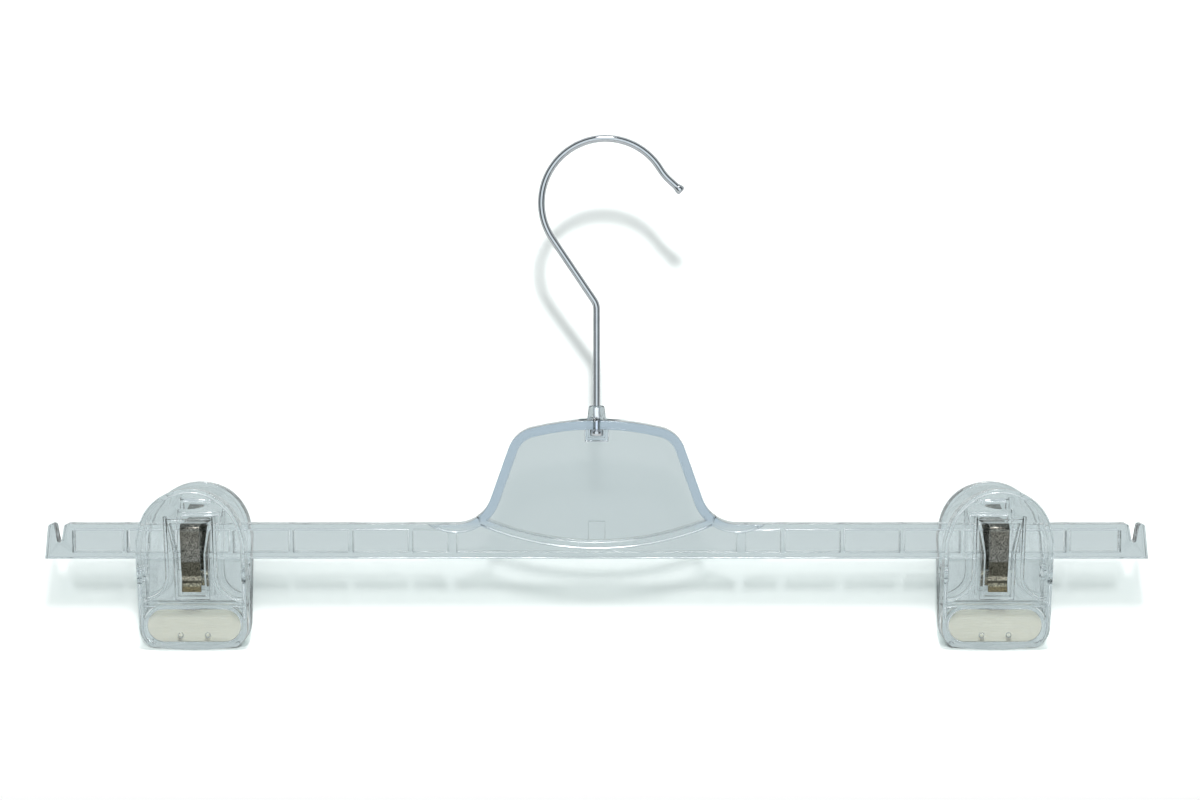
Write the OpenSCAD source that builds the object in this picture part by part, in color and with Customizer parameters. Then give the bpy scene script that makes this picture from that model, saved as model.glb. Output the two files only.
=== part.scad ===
// Skirt hanger: clear moulded bar with a bell-shaped middle, a turning wire
// hook and two spring clips that slide along the bar.
// Millimetres. +X runs along the bar, -Y is the front, +Z is up.
// The origin is the rail seat: on the swivel axis, level with the inside of
// the hook's crown, where the rail carries the hanger.

/* [Hook] */
// Diameter of the hook wire
wire_d = 2.3; // [1.8:0.1:2.6]
// Clear width inside the round of the hook
hook_inner_d = 39.3; // [36:0.1:44]
// Step from the swivel axis to the middle of the round
hook_step = 2.9; // [1:0.1:5]
// Lean of the straight run below the round, in degrees
hook_lean = 34; // [28:1:40]
// Radius of the wire's bend where the run meets the shank
hook_bend_r = 5; // [3:0.5:8]
// Angle above level at which the round ends on the open side, in degrees
hook_end_angle = 33; // [20:1:45]
// Radius of the curl that turns the tip outward
curl_r = 15; // [10:1:20]
// Turn of that curl, in degrees
curl_angle = 15; // [5:1:25]
// Straight length of the tip after the curl
tip_l = 5.6; // [4:0.1:9]
// Diameter of the pressed tip
tip_d = 3.1; // [2.8:0.1:3.8]
// Length of the pressed tip
tip_flare_l = 2.6; // [1.5:0.1:3.5]
// Height from the top of the bell to the rail seat
hook_drop = 90.1; // [80:0.1:110]
// Diameter of the head that keeps the hook in the body
head_d = 4.5; // [4:0.1:5]
// Height of that head
head_h = 2.2; // [1.5:0.1:2.6]
// Play above the head, under the rim
head_play = 0.2; // [0.1:0.05:0.4]
// Play between the wire and its bore, on the radius
wire_play = 0.08; // [0.04:0.01:0.1]

/* [Body] */
// Length of the hanger body over both ends
body_l = 360.2; // [330:0.1:420]
// Height of the bar
bar_h = 11.4; // [9:0.1:14]
// Depth of the bar, front to back
bar_d = 5.6; // [4.6:0.1:6]
// Thickness of the bar's top and bottom flanges
flange_t = 2.1; // [1.6:0.1:2.6]
// Thickness of the web
web_t = 1.4; // [1:0.1:2]
// Height of the bell above the bar
bell_h = 34; // [30:0.5:40]
// Radius of the bell's top edge
bell_top_r = 90; // [80:1:120]
// Radius of the bell's two corners
bell_corner_r = 10.5; // [8:0.5:13]
// Lean of the bell's flanks, in degrees
bell_lean = 19.6; // [14:0.2:24]
// Radius of the foot where a flank runs into the bar
foot_r = 12; // [9:0.5:15]
// Distance from the middle to the centre of a foot's curve
foot_x = 46; // [42:0.5:52]
// Thickness of the rim round the bell
rim_t = 3; // [2.4:0.1:3.6]
// Depth of the rim, front to back
rim_d = 7.6; // [6.4:0.1:9]
// Radius of the curved rib under the bell
smile_r = 97; // [90:1:120]
// How far that rib's lowest point hangs below the bar's top
smile_drop = 8.3; // [7:0.1:9]
// Thickness of that rib
smile_t = 2.6; // [2:0.1:3]
// Width of the gate pad in the middle of the front
gate_w = 5.4; // [4:0.1:7]
// Height of the gate pad above the bar's top
gate_rise = 0.7; // [0:0.1:2]
// How far the gate pad stands out of the web
gate_t = 1.2; // [0.6:0.1:1.8]

/* [Collar and end notches] */
// Height of the collar that guides the hook
collar_h = 4.6; // [3.5:0.1:6]
// Diameter of the collar at its base
collar_base_d = 6.2; // [5.6:0.1:6.4]
// Diameter of the collar at its top
collar_top_d = 5.2; // [4.8:0.1:5.6]
// Radius of the collar's top edge
collar_edge_r = 0.8; // [0.4:0.1:1]
// Width of the slot in the web for the hook's head
slot_w = 5.4; // [5.2:0.1:5.8]
// Play under the head in that slot
slot_play = 0.5; // [0.3:0.1:1]
// Play behind the head in that slot
slot_back_play = 0.3; // [0.2:0.05:0.4]
// Width of the boss that closes the slot from behind
boss_w = 7.6; // [7.5:0.1:9]
// Thickness of the boss below the slot
boss_t = 1.2; // [0.8:0.1:2]
// Length of the solid block at each end
end_block_l = 9; // [8.6:0.1:12]
// Distance from an end to the middle of its loop notch
notch_x = 4.8; // [4.6:0.1:5.2]
// Width of the loop notch at its mouth
notch_w = 3; // [2.4:0.1:3.4]
// Depth of the loop notch
notch_h = 6.1; // [4:0.1:7]
// Radius at the bottom of the notch
notch_r = 0.75; // [0.5:0.05:0.9]
// Radius of the post outside the notch
post_r = 1.1; // [0.9:0.05:1.2]
// Distance from the end to the first plain rib
stop_x = 26; // [22:1:34]
// Pitch of the ribs along the bar
rib_pitch = 19.5; // [16:0.5:24]
// Distance from the middle to the first rib
rib_first = 60.9; // [58:0.1:66]
// Thickness of a rib
rib_t = 1.6; // [1.2:0.1:2]
// Distance from the middle to the rib under a foot
foot_rib_x = 47.2; // [45:0.1:50]
// Thickness of the rib under a foot
foot_rib_t = 2.9; // [2:0.1:3.6]

/* [Clips] */
// Place of the left clip, as a share of half the body's length
left_clip_share = 0.73; // [0.56:0.005:0.78]
// Place of the right clip, as a share of half the body's length
right_clip_share = 0.723; // [0.56:0.005:0.78]
// Width of a jaw
jaw_w = 35.3; // [34:0.1:38]
// Height of the jaw above its pivot
jaw_up = 28.5; // [27:0.1:32]
// Height of the jaw below its pivot
jaw_down = 25.2; // [24.6:0.1:28]
// Distance from the bottom of the bar down to the pivot
pivot_drop = 4.6; // [4.2:0.1:5.4]
// Outer face of the jaw in front of its pivot
jaw_out = 8.63; // [8.2:0.01:9.4]
// Lean of the jaw's face when the clip is shut, in degrees
jaw_lean = 10; // [8:0.5:11]
// How far each jaw opens, in degrees
jaw_open = 11; // [8:0.5:11]
// Thickness of the jaw's face
jaw_t = 1.5; // [1.2:0.1:1.8]
// Thickness of the wall round the jaw
jaw_wall = 1.4; // [1.2:0.1:1.8]
// Radius of the jaw's top
jaw_top_r = 17; // [15:0.1:17.4]
// Lean of the jaw's upper flanks, in degrees
jaw_flank = 15; // [12:1:22]
// Radius of the shoulder between flank and side
shoulder_r = 8; // [5:0.5:11]
// Radius of the jaw's lower corners
jaw_corner_r = 7.5; // [6:0.5:9]
// Radius of the jaw's slightly round bottom
jaw_bottom_r = 90; // [70:1:140]
// Gap between the jaw's wall and the bar's lower edge
bar_side_gap = 1.3; // [1.2:0.1:1.8]
// Gap between the two jaws' walls, each side of the middle
wall_gap = 0.6; // [0.5:0.05:0.8]
// Width of the thumb dish
dish_d = 8; // [7:0.5:12]
// Depth of the thumb dish
dish_h = 0.2; // [0.1:0.1:0.8]
// Distance from the jaw's top to the middle of the dish
dish_drop = 5.9; // [5.5:0.1:7]

/* [Jaw window and ribs] */
// Height of the window's top edge above the pivot
window_up = 17.4; // [17.2:0.1:18.5]
// Height above the pivot where the window stops narrowing
window_waist = 7; // [5:0.1:9]
// Depth of the spring pocket below the pivot
pocket_down = 7; // [6.6:0.1:8]
// Height above the pivot where the open window becomes a pocket
pocket_up = 1.6; // [0.5:0.1:3]
// Width of the window at its top
window_top_w = 12.4; // [10:0.1:13]
// Width of the window at its waist and below
window_low_w = 8.7; // [7:0.1:9.5]
// Depth of the pocket's floor below the jaw's face
pocket_h = 1.7; // [1.6:0.05:1.9]
// Thickness of the pocket's floor and of the walls round the window
pocket_t = 1.2; // [0.9:0.1:1.4]
// Depth of the walls round the window, from the jaw's face
window_wall_h = 3.1; // [2.9:0.1:3.6]
// Distance from the jaw's middle to each stiffening rib
stiffener_x = 7.9; // [7.7:0.1:8.6]
// Thickness of a stiffening rib
stiffener_t = 0.9; // [0.7:0.1:1.2]
// Radius of the flare where that rib runs out to the side
flare_r = 8; // [6:0.1:9]
// Height of the stiffening rib's top above the pivot
stiffener_up = 19.5; // [17:0.1:21]

/* [Knuckle] */
// Diameter of the rounded knuckle
knuckle_d = 3.2; // [2.6:0.1:3.4]
// Play between the knuckle and its socket, on the radius
knuckle_play = 0.08; // [0.04:0.01:0.1]
// Width of the knuckle and its socket along the bar
knuckle_w = 2.2; // [1.8:0.1:2.8]
// Height of the neck behind the knuckle
neck_h = 2; // [1.6:0.1:2.1]
// Height of the socket
socket_h = 5.2; // [4.8:0.1:5.4]
// How far the socket reaches past the pivot
socket_lip = 0.6; // [0.5:0.05:0.7]
// Gap between the socket's corner and the other jaw
sweep_gap = 0.25; // [0.2:0.05:0.4]

/* [Grip pads] */
// Length of a grip pad
pad_l = 30.5; // [28:0.1:31]
// Height of a grip pad
pad_h = 11; // [9:0.1:12]
// Distance from the pivot down to the middle of the pad
pad_drop = 17; // [16.6:0.1:17.4]
// Gap between the two pads of a shut clip
pad_gap = 0.4; // [0.2:0.1:0.8]
// Thickness of a grip pad
pad_t = 2.2; // [1.8:0.1:2.3]
// Play round the pad in its seat
pad_play = 0.1; // [0.05:0.05:0.2]
// Width of the lip round the pad
seat_lip = 1.3; // [1:0.1:1.6]
// How far the lip stays behind the pad's face
lip_back = 0.8; // [0.6:0.1:1.2]
// Distance from the pad's middle to each peg on its back
peg_x = 4.4; // [3:0.1:8]
// Distance from the pad's middle down to the pegs
peg_drop = 3.2; // [1:0.1:3.6]
// Diameter of a peg
peg_d = 1.4; // [1:0.1:1.8]
// Length of a peg
peg_l = 1.1; // [0.8:0.1:1.2]
// Pitch of the grooves across the pad's face
groove_pitch = 1.8; // [1.4:0.1:2.4]
// Width of a groove
groove_w = 0.5; // [0.3:0.1:0.8]
// Depth of a groove
groove_h = 0.3; // [0.2:0.05:0.5]

/* [Spring] */
// Width of the spring strip
spring_w = 6.3; // [5:0.1:6.6]
// Thickness of the spring strip
spring_t = 0.6; // [0.4:0.05:0.7]
// Gap between the bar's top and the spring
spring_gap = 0.4; // [0.3:0.05:0.6]
// Bend radius at the spring's shoulders
spring_bend_r = 2; // [1.4:0.1:2.6]
// Bend radius where the spring presses in the pocket
press_r = 1.1; // [0.8:0.1:1.6]
// Bend radius at the spring's knees
knee_r = 3; // [2:0.1:4]
// Gap between the resting spring and the pocket's floor
press_gap = 0.12; // [0.1:0.01:0.2]
// Distance from the pivot down to the line where the spring presses
press_drop = 1.7; // [1.2:0.1:2.4]
// Height of the knee above the pivot
knee_up = 4.2; // [3.4:0.1:5]
// How far the knee lies below the jaw's face
knee_in = 0.45; // [0.35:0.05:0.6]
// How far the shoulder lies below the jaw's face
shoulder_in = 0.8; // [0.5:0.05:1]
// Distance from the pivot down to the spring's tip
spring_tip_drop = 5.6; // [5:0.1:6]
// How far the tip's middle lies below the jaw's face
spring_tip_in = 0.1; // [0:0.05:0.3]

/* [Hidden] */
$fn = 96;
bend_steps = 6;
// Overrun of every cut past the face it opens
over = 1.5;
// A bend is drawn this much thinner, on the radius, and reaches this far
// into the straight wire at each end
bend_thin = 0.012;
bend_lap = 0.2;
// The bell's corner discs are drawn this much larger, on the radius, so
// that their edges cross the bell's other edges instead of grazing them
disc_seat = 0.012;

clear_plastic = [0.78, 0.83, 0.85, 0.45];
chrome = [0.75, 0.76, 0.78];
spring_steel = [0.55, 0.54, 0.5];
ivory = [0.88, 0.86, 0.78];

half_l = body_l / 2;
bar_top = -hook_drop - bell_h;
bar_bottom = bar_top - bar_h;
pivot_z = bar_bottom - pivot_drop;

// Hook: centre of the round, where the straight run leaves it, where it
// crosses the swivel axis
wire_r = wire_d / 2;
hook_r = hook_inner_d / 2 + wire_r;
hook_cz = -hook_inner_d / 2;
run_x = hook_step - hook_r * cos(hook_lean);
run_z = hook_cz - hook_r * sin(hook_lean);
run_l = -run_x / sin(hook_lean);
bend_z = run_z - run_l * cos(hook_lean);
bend_cut = hook_bend_r * tan(hook_lean / 2);
end_x = hook_step + hook_r * cos(hook_end_angle);
end_z = hook_cz + hook_r * sin(hook_end_angle);
// The curl starts a wire radius past the end of the round
curl_x = end_x + wire_r * sin(hook_end_angle) + curl_r * cos(hook_end_angle);
curl_z = end_z - wire_r * cos(hook_end_angle) + curl_r * sin(hook_end_angle);
tip_angle = hook_end_angle + curl_angle;
tip_x = curl_x - curl_r * cos(tip_angle);
tip_z = curl_z - curl_r * sin(tip_angle);
rim_under = -hook_drop - rim_t;
head_top = rim_under - head_play;
slot_low = head_top - head_h - slot_play;
boss_low = slot_low - boss_t;

// Bell: corner centre from the flank's line and the top edge's circle
bell_top_cy = bell_h - bell_top_r;
flank_n = [cos(bell_lean), sin(bell_lean)];
flank_e = [-sin(bell_lean), cos(bell_lean)];
foot_c = [foot_x, foot_r];
line_c = foot_c - (foot_r + bell_corner_r) * flank_n;
from_top = line_c - [0, bell_top_cy];
top_reach = bell_top_r - bell_corner_r;
along = from_top * flank_e;
corner_c = line_c + flank_e
    * (sqrt(along * along - from_top * from_top + top_reach * top_reach) - along);
corner_e = (corner_c - [0, bell_top_cy]) / top_reach;

rib_count = floor((half_l - stop_x - rib_t - rib_first) / rib_pitch) + 1;

// Jaw, in the clip's own frame: the pivot is the origin, the front jaw lies
// towards -Y
jaw_slope = tan(jaw_lean);
flank_lean = tan(jaw_flank);
shoulder_x = jaw_w / 2 - shoulder_r;
top_cz = jaw_up - jaw_top_r;
flank_from = [jaw_top_r * cos(jaw_flank), top_cz + jaw_top_r * sin(jaw_flank)];
shoulder_z = flank_from[1]
    - (jaw_w / 2 - flank_from[0]) / flank_lean - shoulder_r * tan(jaw_flank / 2);
corner_z = jaw_corner_r - jaw_down;
knuckle_r = knuckle_d / 2;
sweep_r = sqrt(pow(socket_h / 2, 2) + pow(socket_lip, 2)) + sweep_gap;
edge_y = bar_d / 2 + bar_side_gap;
edge_slope = tan(jaw_open);
pad_face = pad_gap / 2;
pad_back = pad_face + pad_t;
lip_y = pad_face + lip_back;
shelf_z = -pad_drop + pad_h / 2 + seat_lip + pad_play;
pad_straight = pad_l - pad_h;
groove_count = floor(pad_h / 2 / groove_pitch);
dish_r = (pow(dish_d / 2, 2) + pow(dish_h, 2)) / (2 * dish_h);

// Distance of the jaw's outer face from the middle plane at height z
function face_y(z) = jaw_out + z * jaw_slope;

// A corner of a bent strip, as points on its arc
function unit(v) = v / norm(v);
function bend(a, b, c, r) =
    let (u = unit(a - b), w = unit(c - b), h = acos(u * w) / 2,
        s = b + u * (r / tan(h)), m = b + unit(u + w) * (r / sin(h)),
        a0 = atan2(s[1] - m[1], s[0] - m[0]),
        side = u[0] * w[1] - u[1] * w[0] > 0 ? -1 : 1,
        sweep = side * (180 - 2 * h))
    [for (i = [0:bend_steps]) m + r * [cos(a0 + sweep * i / bend_steps),
        sin(a0 + sweep * i / bend_steps)]];

// The two edges of a strip of thickness t along the points p
function dir_at(p, i) = let (n = len(p) - 1)
    unit(unit(p[min(i + 1, n)] - p[min(i, n - 1)])
        + unit(p[max(i, 1)] - p[max(i - 1, 0)]));
function strip_edge(p, d) = [for (i = [0:len(p) - 1])
    p[i] + d * [-dir_at(p, i)[1], dir_at(p, i)[0]]];
function strip(p, t) = concat(strip_edge(p, t / 2),
    [for (i = [len(p) - 1:-1:0]) strip_edge(p, -t / 2)[i]]);
function flip_y(p) = [for (i = [len(p) - 1:-1:0]) [-p[i][0], p[i][1]]];

// Spring: one leg from its tip up to the middle of the crown
crown_z = pivot_drop + bar_h + spring_gap + spring_t / 2;
leg_tip = [-(face_y(-spring_tip_drop) - spring_tip_in), -spring_tip_drop];
leg_press = [-(face_y(-press_drop) - pocket_h + press_gap + spring_t / 2),
    -press_drop];
leg_knee = [-(face_y(knee_up) - knee_in), knee_up];
leg_top = [-(face_y(crown_z) - shoulder_in), crown_z];
leg = concat([leg_tip], bend(leg_tip, leg_press, leg_knee, press_r),
    bend(leg_press, leg_knee, leg_top, knee_r),
    bend(leg_knee, leg_top, [0, crown_z], spring_bend_r));

// A flat outline in X and Z made solid from y0 to y1
module front(y0, y1) {
    translate([0, y1, 0]) rotate([90, 0, 0])
        linear_extrude(height = y1 - y0) children();
}

// A profile in Y and Z made solid across a width w
module across(w) {
    rotate([90, 0, 90]) linear_extrude(height = w, center = true) children();
}

// Wire bent round Y at radius r, from angle a to angle b
module wire_arc(r, a, b) {
    lap = bend_lap / r * 180 / PI;
    rotate([90, 0, 0]) rotate([0, 0, a - lap])
        rotate_extrude(angle = b - a + 2 * lap)
            translate([r, 0]) circle(r = wire_r - bend_thin);
}

module hook() {
    color(chrome) {
        translate([hook_step, 0, hook_cz])
            wire_arc(hook_r, hook_end_angle, 180 + hook_lean);
        translate([run_x, 0, run_z]) rotate([0, 180 - hook_lean, 0])
            cylinder(r = wire_r, h = run_l - bend_cut);
        translate([-hook_bend_r, 0, bend_z - bend_cut])
            wire_arc(hook_bend_r, 0, hook_lean);
        translate([0, 0, head_top - head_h / 2])
            cylinder(r = wire_r, h = bend_z - bend_cut - head_top + head_h / 2);
        translate([0, 0, head_top - head_h]) cylinder(d = head_d, h = head_h);
        translate([end_x, 0, end_z]) rotate([0, 180 - hook_end_angle, 0])
            cylinder(r = wire_r, h = wire_r);
        translate([curl_x, 0, curl_z])
            wire_arc(curl_r, 180 + hook_end_angle, 180 + tip_angle);
        translate([tip_x, 0, tip_z]) rotate([0, 180 - tip_angle, 0])
            rotate_extrude() polygon([[0, 0], [wire_r, 0],
                [wire_r, tip_l - tip_flare_l], [tip_d / 2, tip_l - wire_r],
                [tip_d / 2, tip_l - wire_r / 2], [wire_r, tip_l], [0, tip_l]]);
    }
}

// The bell's outline, set in by t, down to the level base
module bell_fill(t, base) {
    intersection() {
        translate([0, bell_top_cy]) circle(r = bell_top_r - t);
        polygon([corner_c, corner_e * 2 * bell_top_r + [0, bell_top_cy],
            [-corner_e[0], corner_e[1]] * 2 * bell_top_r + [0, bell_top_cy],
            [-corner_c[0], corner_c[1]]]);
    }
    for (s = [-1, 1])
        translate([s * corner_c[0], corner_c[1]])
            circle(r = bell_corner_r - t + disc_seat);
    upper = corner_c + (bell_corner_r - t) * flank_n;
    lower = foot_c - (foot_r + t) * flank_n;
    inner = corner_c + (bell_corner_r - t) * corner_e;
    difference() {
        polygon([[foot_x, base], lower, upper, corner_c, inner,
            [-inner[0], inner[1]], [-corner_c[0], corner_c[1]],
            [-upper[0], upper[1]], [-lower[0], lower[1]], [-foot_x, base]]);
        for (s = [-1, 1])
            translate([s * foot_x, foot_r]) circle(r = foot_r + t);
    }
}

// The bell's rim, which runs out over the bar's top as a lens
module rim_outline() {
    difference() {
        bell_fill(0, 0);
        bell_fill(rim_t, -over);
    }
    intersection() {
        for (s = [-1, 1])
            translate([s * foot_x, foot_r]) circle(r = foot_r + rim_t);
        translate([-half_l, -rim_t - over]) square([body_l, rim_t + over]);
    }
}

module smile_outline() {
    intersection() {
        translate([0, smile_r - smile_drop]) difference() {
            circle(r = smile_r);
            circle(r = smile_r - smile_t);
        }
        translate([-foot_x + foot_r * flank_n[0] / 2 + over, -bar_h])
            square([2 * foot_x - foot_r * flank_n[0] - 2 * over, bar_h + rim_t]);
    }
}

// One end of the bar with its loop notch, as an outline
module end_outline() {
    notch_c = half_l - notch_x;
    mouth_in = notch_c - notch_w / 2;
    mouth_out = notch_c + notch_w / 2;
    post_c = mouth_out + post_r;
    difference() {
        union() {
            polygon([[half_l - end_block_l, -bar_h], [half_l, -bar_h],
                [post_c + post_r, -post_r], [mouth_out, -post_r],
                [notch_c + notch_r, -notch_h + notch_r],
                [notch_c - notch_r, -notch_h + notch_r],
                [mouth_in, -post_r], [mouth_in - post_r, 0],
                [half_l - end_block_l, 0]]);
            translate([post_c, -post_r]) circle(r = post_r);
            translate([mouth_in - post_r, -post_r]) circle(r = post_r);
        }
        translate([notch_c, -notch_h + notch_r]) circle(r = notch_r);
    }
}

module upright(x, t) {
    translate([x - t / 2, -bar_h]) square([t, bar_h]);
}

module bar() {
    front(-web_t / 2, web_t / 2) {
        translate([end_block_l - half_l, -bar_h])
            square([body_l - 2 * end_block_l, bar_h]);
        bell_fill(0, 0);
    }
    front(-bar_d / 2, bar_d / 2) {
        translate([end_block_l - half_l, -bar_h])
            square([body_l - 2 * end_block_l, flange_t]);
        for (s = [0, 1]) mirror([s, 0]) {
            translate([foot_x, -flange_t])
                square([half_l - end_block_l - foot_x, flange_t]);
            upright(foot_rib_x, foot_rib_t);
            upright(half_l - stop_x, rib_t);
            for (i = [0:rib_count - 1]) upright(rib_first + i * rib_pitch, rib_t);
            end_outline();
        }
    }
}

module collar() {
    rotate_extrude() {
        polygon([[0, -rim_t / 2], [collar_base_d / 2, -rim_t / 2],
            [collar_base_d / 2, 0],
            [collar_top_d / 2, collar_h - collar_edge_r],
            [collar_top_d / 2 - collar_edge_r, collar_h], [0, collar_h]]);
        intersection() {
            translate([collar_top_d / 2 - collar_edge_r, collar_h - collar_edge_r])
                circle(r = collar_edge_r);
            square([collar_base_d, collar_h]);
        }
    }
}

module hanger_body() {
    color(clear_plastic) difference() {
        union() {
            translate([0, 0, bar_top]) {
                bar();
                front(-rim_d / 2, rim_d / 2) {
                    rim_outline();
                    smile_outline();
                }
                front(-web_t / 2 - gate_t, 0)
                    translate([-gate_w / 2, -smile_drop])
                        square([gate_w, smile_drop + gate_rise]);
                front(0, rim_d / 2) translate([-boss_w / 2, boss_low - bar_top])
                    square([boss_w, rim_under + rim_t / 2 - boss_low]);
            }
            translate([0, 0, -hook_drop]) collar();
        }
        translate([0, 0, rim_under - over])
            cylinder(r = wire_r + wire_play, h = rim_t + collar_h + 2 * over);
        translate([-slot_w / 2, -rim_d, slot_low])
            cube([slot_w, rim_d + head_d / 2 + slot_back_play, rim_under - slot_low]);
    }
}

// The jaw's outline, set in by t
module jaw_outline(t) {
    intersection() {
        jaw_block(t);
        translate([0, jaw_bottom_r - jaw_down]) circle(r = jaw_bottom_r - t);
    }
}

module jaw_block(t) {
    translate([0, top_cz]) circle(r = jaw_top_r - t);
    for (s = [-1, 1]) {
        translate([s * shoulder_x, shoulder_z]) circle(r = shoulder_r - t);
        translate([s * (jaw_w / 2 - jaw_corner_r), corner_z])
            circle(r = jaw_corner_r - t);
    }
    n = [cos(jaw_flank), sin(jaw_flank)];
    p = [[0, top_cz] + (jaw_top_r - t) * n,
        [shoulder_x, shoulder_z] + (shoulder_r - t) * n,
        [jaw_w / 2 - t, shoulder_z], [jaw_w / 2 - t, corner_z],
        [jaw_w / 2 - jaw_corner_r, t - jaw_down]];
    polygon(concat(p, flip_y(p)));
}

// What lies between the depths a and b behind the jaw's face
module behind_face(a, b) {
    z0 = -jaw_down - over;
    z1 = jaw_up + over;
    across(jaw_w + 2 * over) polygon([[a - face_y(z0), z0], [b - face_y(z0), z0],
        [b - face_y(z1), z1], [a - face_y(z1), z1]]);
}

// The jaw seen from its side, from the depth a behind its face
module jaw_section(a) {
    top = jaw_up + over;
    low = -jaw_down - over;
    across(jaw_w + 2 * over) polygon([[a - face_y(low), low], [a - face_y(top), top],
        [-edge_y - (top - pivot_drop) * edge_slope, top],
        [-edge_y, pivot_drop],
        [-sweep_r, knuckle_r], [-wall_gap, knuckle_r],
        [-wall_gap, -pocket_down], [-lip_y, shelf_z], [-lip_y, low]]);
}

// The window's outline, grown by g
module window_outline(g) {
    polygon([[window_top_w / 2 + g, window_up + g],
        [window_low_w / 2 + g, window_waist],
        [window_low_w / 2 + g, -pocket_down - g],
        [-window_low_w / 2 - g, -pocket_down - g],
        [-window_low_w / 2 - g, window_waist],
        [-window_top_w / 2 - g, window_up + g]]);
}

module stiffeners() {
    for (s = [0, 1]) mirror([s, 0]) {
        translate([stiffener_x - stiffener_t / 2, 0])
            square([stiffener_t, stiffener_up]);
        intersection() {
            translate([stiffener_x + flare_r, 0]) difference() {
                circle(r = flare_r + stiffener_t / 2);
                circle(r = flare_r - stiffener_t / 2);
            }
            translate([0, -flare_r - stiffener_t])
                square([jaw_w / 2 - jaw_wall / 2, flare_r + stiffener_t]);
        }
    }
}

// Round-ended outline of the pad, grown by g
module pad_outline(g) {
    translate([0, -pad_drop]) {
        for (s = [-1, 1]) translate([s * pad_straight / 2, 0])
            circle(r = pad_h / 2 + g);
        translate([-pad_straight / 2, -pad_h / 2 - g])
            square([pad_straight, pad_h + 2 * g]);
    }
}

module peg_marks(r) {
    for (s = [-1, 1])
        translate([s * peg_x, -pad_drop - peg_drop]) circle(r = r);
}

// One jaw: the same moulding serves as front and as back jaw
module jaw() {
    near = jaw_w / 2 - knuckle_w / 2;
    color(clear_plastic) difference() {
        union() {
            difference() {
                intersection() {
                    front(-2 * jaw_out, 0) jaw_outline(0);
                    jaw_section(0);
                }
                difference() {
                    intersection() {
                        front(-2 * jaw_out, over) jaw_outline(jaw_wall);
                        behind_face(jaw_t, 2 * jaw_out);
                    }
                    // pad seat and its shelf
                    front(-2 * jaw_out, -lip_y) {
                        pad_outline(pad_play + seat_lip);
                        translate([-jaw_w / 2, shelf_z - jaw_wall / 2])
                            square([jaw_w, jaw_wall / 2]);
                    }
                    // walls round the window, floor of the pocket, stiffeners
                    intersection() {
                        behind_face(0, window_wall_h);
                        front(-2 * jaw_out, 0) {
                            difference() {
                                window_outline(pocket_t);
                                window_outline(0);
                            }
                            stiffeners();
                        }
                    }
                    intersection() {
                        behind_face(0, pocket_h + pocket_t);
                        front(-2 * jaw_out, 0) intersection() {
                            window_outline(0);
                            translate([-jaw_w / 2, -jaw_down])
                                square([jaw_w, jaw_down + pocket_up]);
                        }
                    }
                }
                // room for the other jaw's socket
                rotate([0, 90, 0])
                    cylinder(r = sweep_r, h = jaw_w + 2 * over, center = true);
            }
            translate([near, 0, 0]) {
                rotate([0, 90, 0])
                    cylinder(r = knuckle_r, h = knuckle_w, center = true);
                translate([-knuckle_w / 2, -sweep_r - jaw_wall, -neck_h / 2])
                    cube([knuckle_w, sweep_r + jaw_wall, neck_h]);
            }
            translate([-near - knuckle_w / 2, -sweep_r - jaw_wall, -socket_h / 2])
                cube([knuckle_w, sweep_r + jaw_wall + socket_lip, socket_h]);
        }
        translate([-near, 0, 0]) rotate([0, 90, 0])
            cylinder(r = knuckle_r + knuckle_play, h = knuckle_w + over,
                center = true);
        // window, and the pocket below it
        intersection() {
            behind_face(-over, window_wall_h + over);
            front(-2 * jaw_out, 0) intersection() {
                window_outline(0);
                translate([-jaw_w / 2, pocket_up]) square([jaw_w, jaw_up]);
            }
        }
        intersection() {
            behind_face(-over, pocket_h);
            front(-2 * jaw_out, 0) window_outline(0);
        }
        // pad seat and peg holes
        front(-pad_back, over) pad_outline(pad_play);
        front(-pad_back - peg_l - pad_play, 0) peg_marks(peg_d / 2 + pad_play);
        // thumb dish
        translate([0, -face_y(jaw_up - dish_drop), jaw_up - dish_drop])
            rotate([-jaw_lean, 0, 0]) translate([0, dish_h - dish_r, 0])
                sphere(r = dish_r);
    }
}

module pad() {
    color(ivory) {
        difference() {
            front(-pad_back, -pad_face) pad_outline(0);
            for (i = [-groove_count:groove_count])
                translate([-pad_l, -pad_face - groove_h,
                    i * groove_pitch - pad_drop - groove_w / 2])
                    cube([2 * pad_l, groove_h + over, groove_w]);
        }
        front(-pad_back - peg_l, -pad_back) peg_marks(peg_d / 2);
    }
}

module spring() {
    color(spring_steel) across(spring_w)
        polygon(strip(concat(leg, flip_y(leg)), spring_t));
}

// Place a piece of a clip: side -1 is left and 1 is right, turned to the
// back where turn is 180
module in_clip(side, turn) {
    clip_x = side * half_l * (side < 0 ? left_clip_share : right_clip_share);
    translate([clip_x, 0, pivot_z]) rotate([0, 0, turn]) children();
}

module left_spring() { in_clip(-1, 0) spring(); }
module left_front_jaw() { in_clip(-1, 0) jaw(); }
module left_back_jaw() { in_clip(-1, 180) jaw(); }
module left_front_pad() { in_clip(-1, 0) pad(); }
module left_back_pad() { in_clip(-1, 180) pad(); }
module right_spring() { in_clip(1, 0) spring(); }
module right_front_jaw() { in_clip(1, 0) jaw(); }
module right_back_jaw() { in_clip(1, 180) jaw(); }
module right_front_pad() { in_clip(1, 0) pad(); }
module right_back_pad() { in_clip(1, 180) pad(); }

hook();
hanger_body();
left_spring();
left_front_jaw();
left_back_jaw();
left_front_pad();
left_back_pad();
right_spring();
right_front_jaw();
right_back_jaw();
right_front_pad();
right_back_pad();
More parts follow.
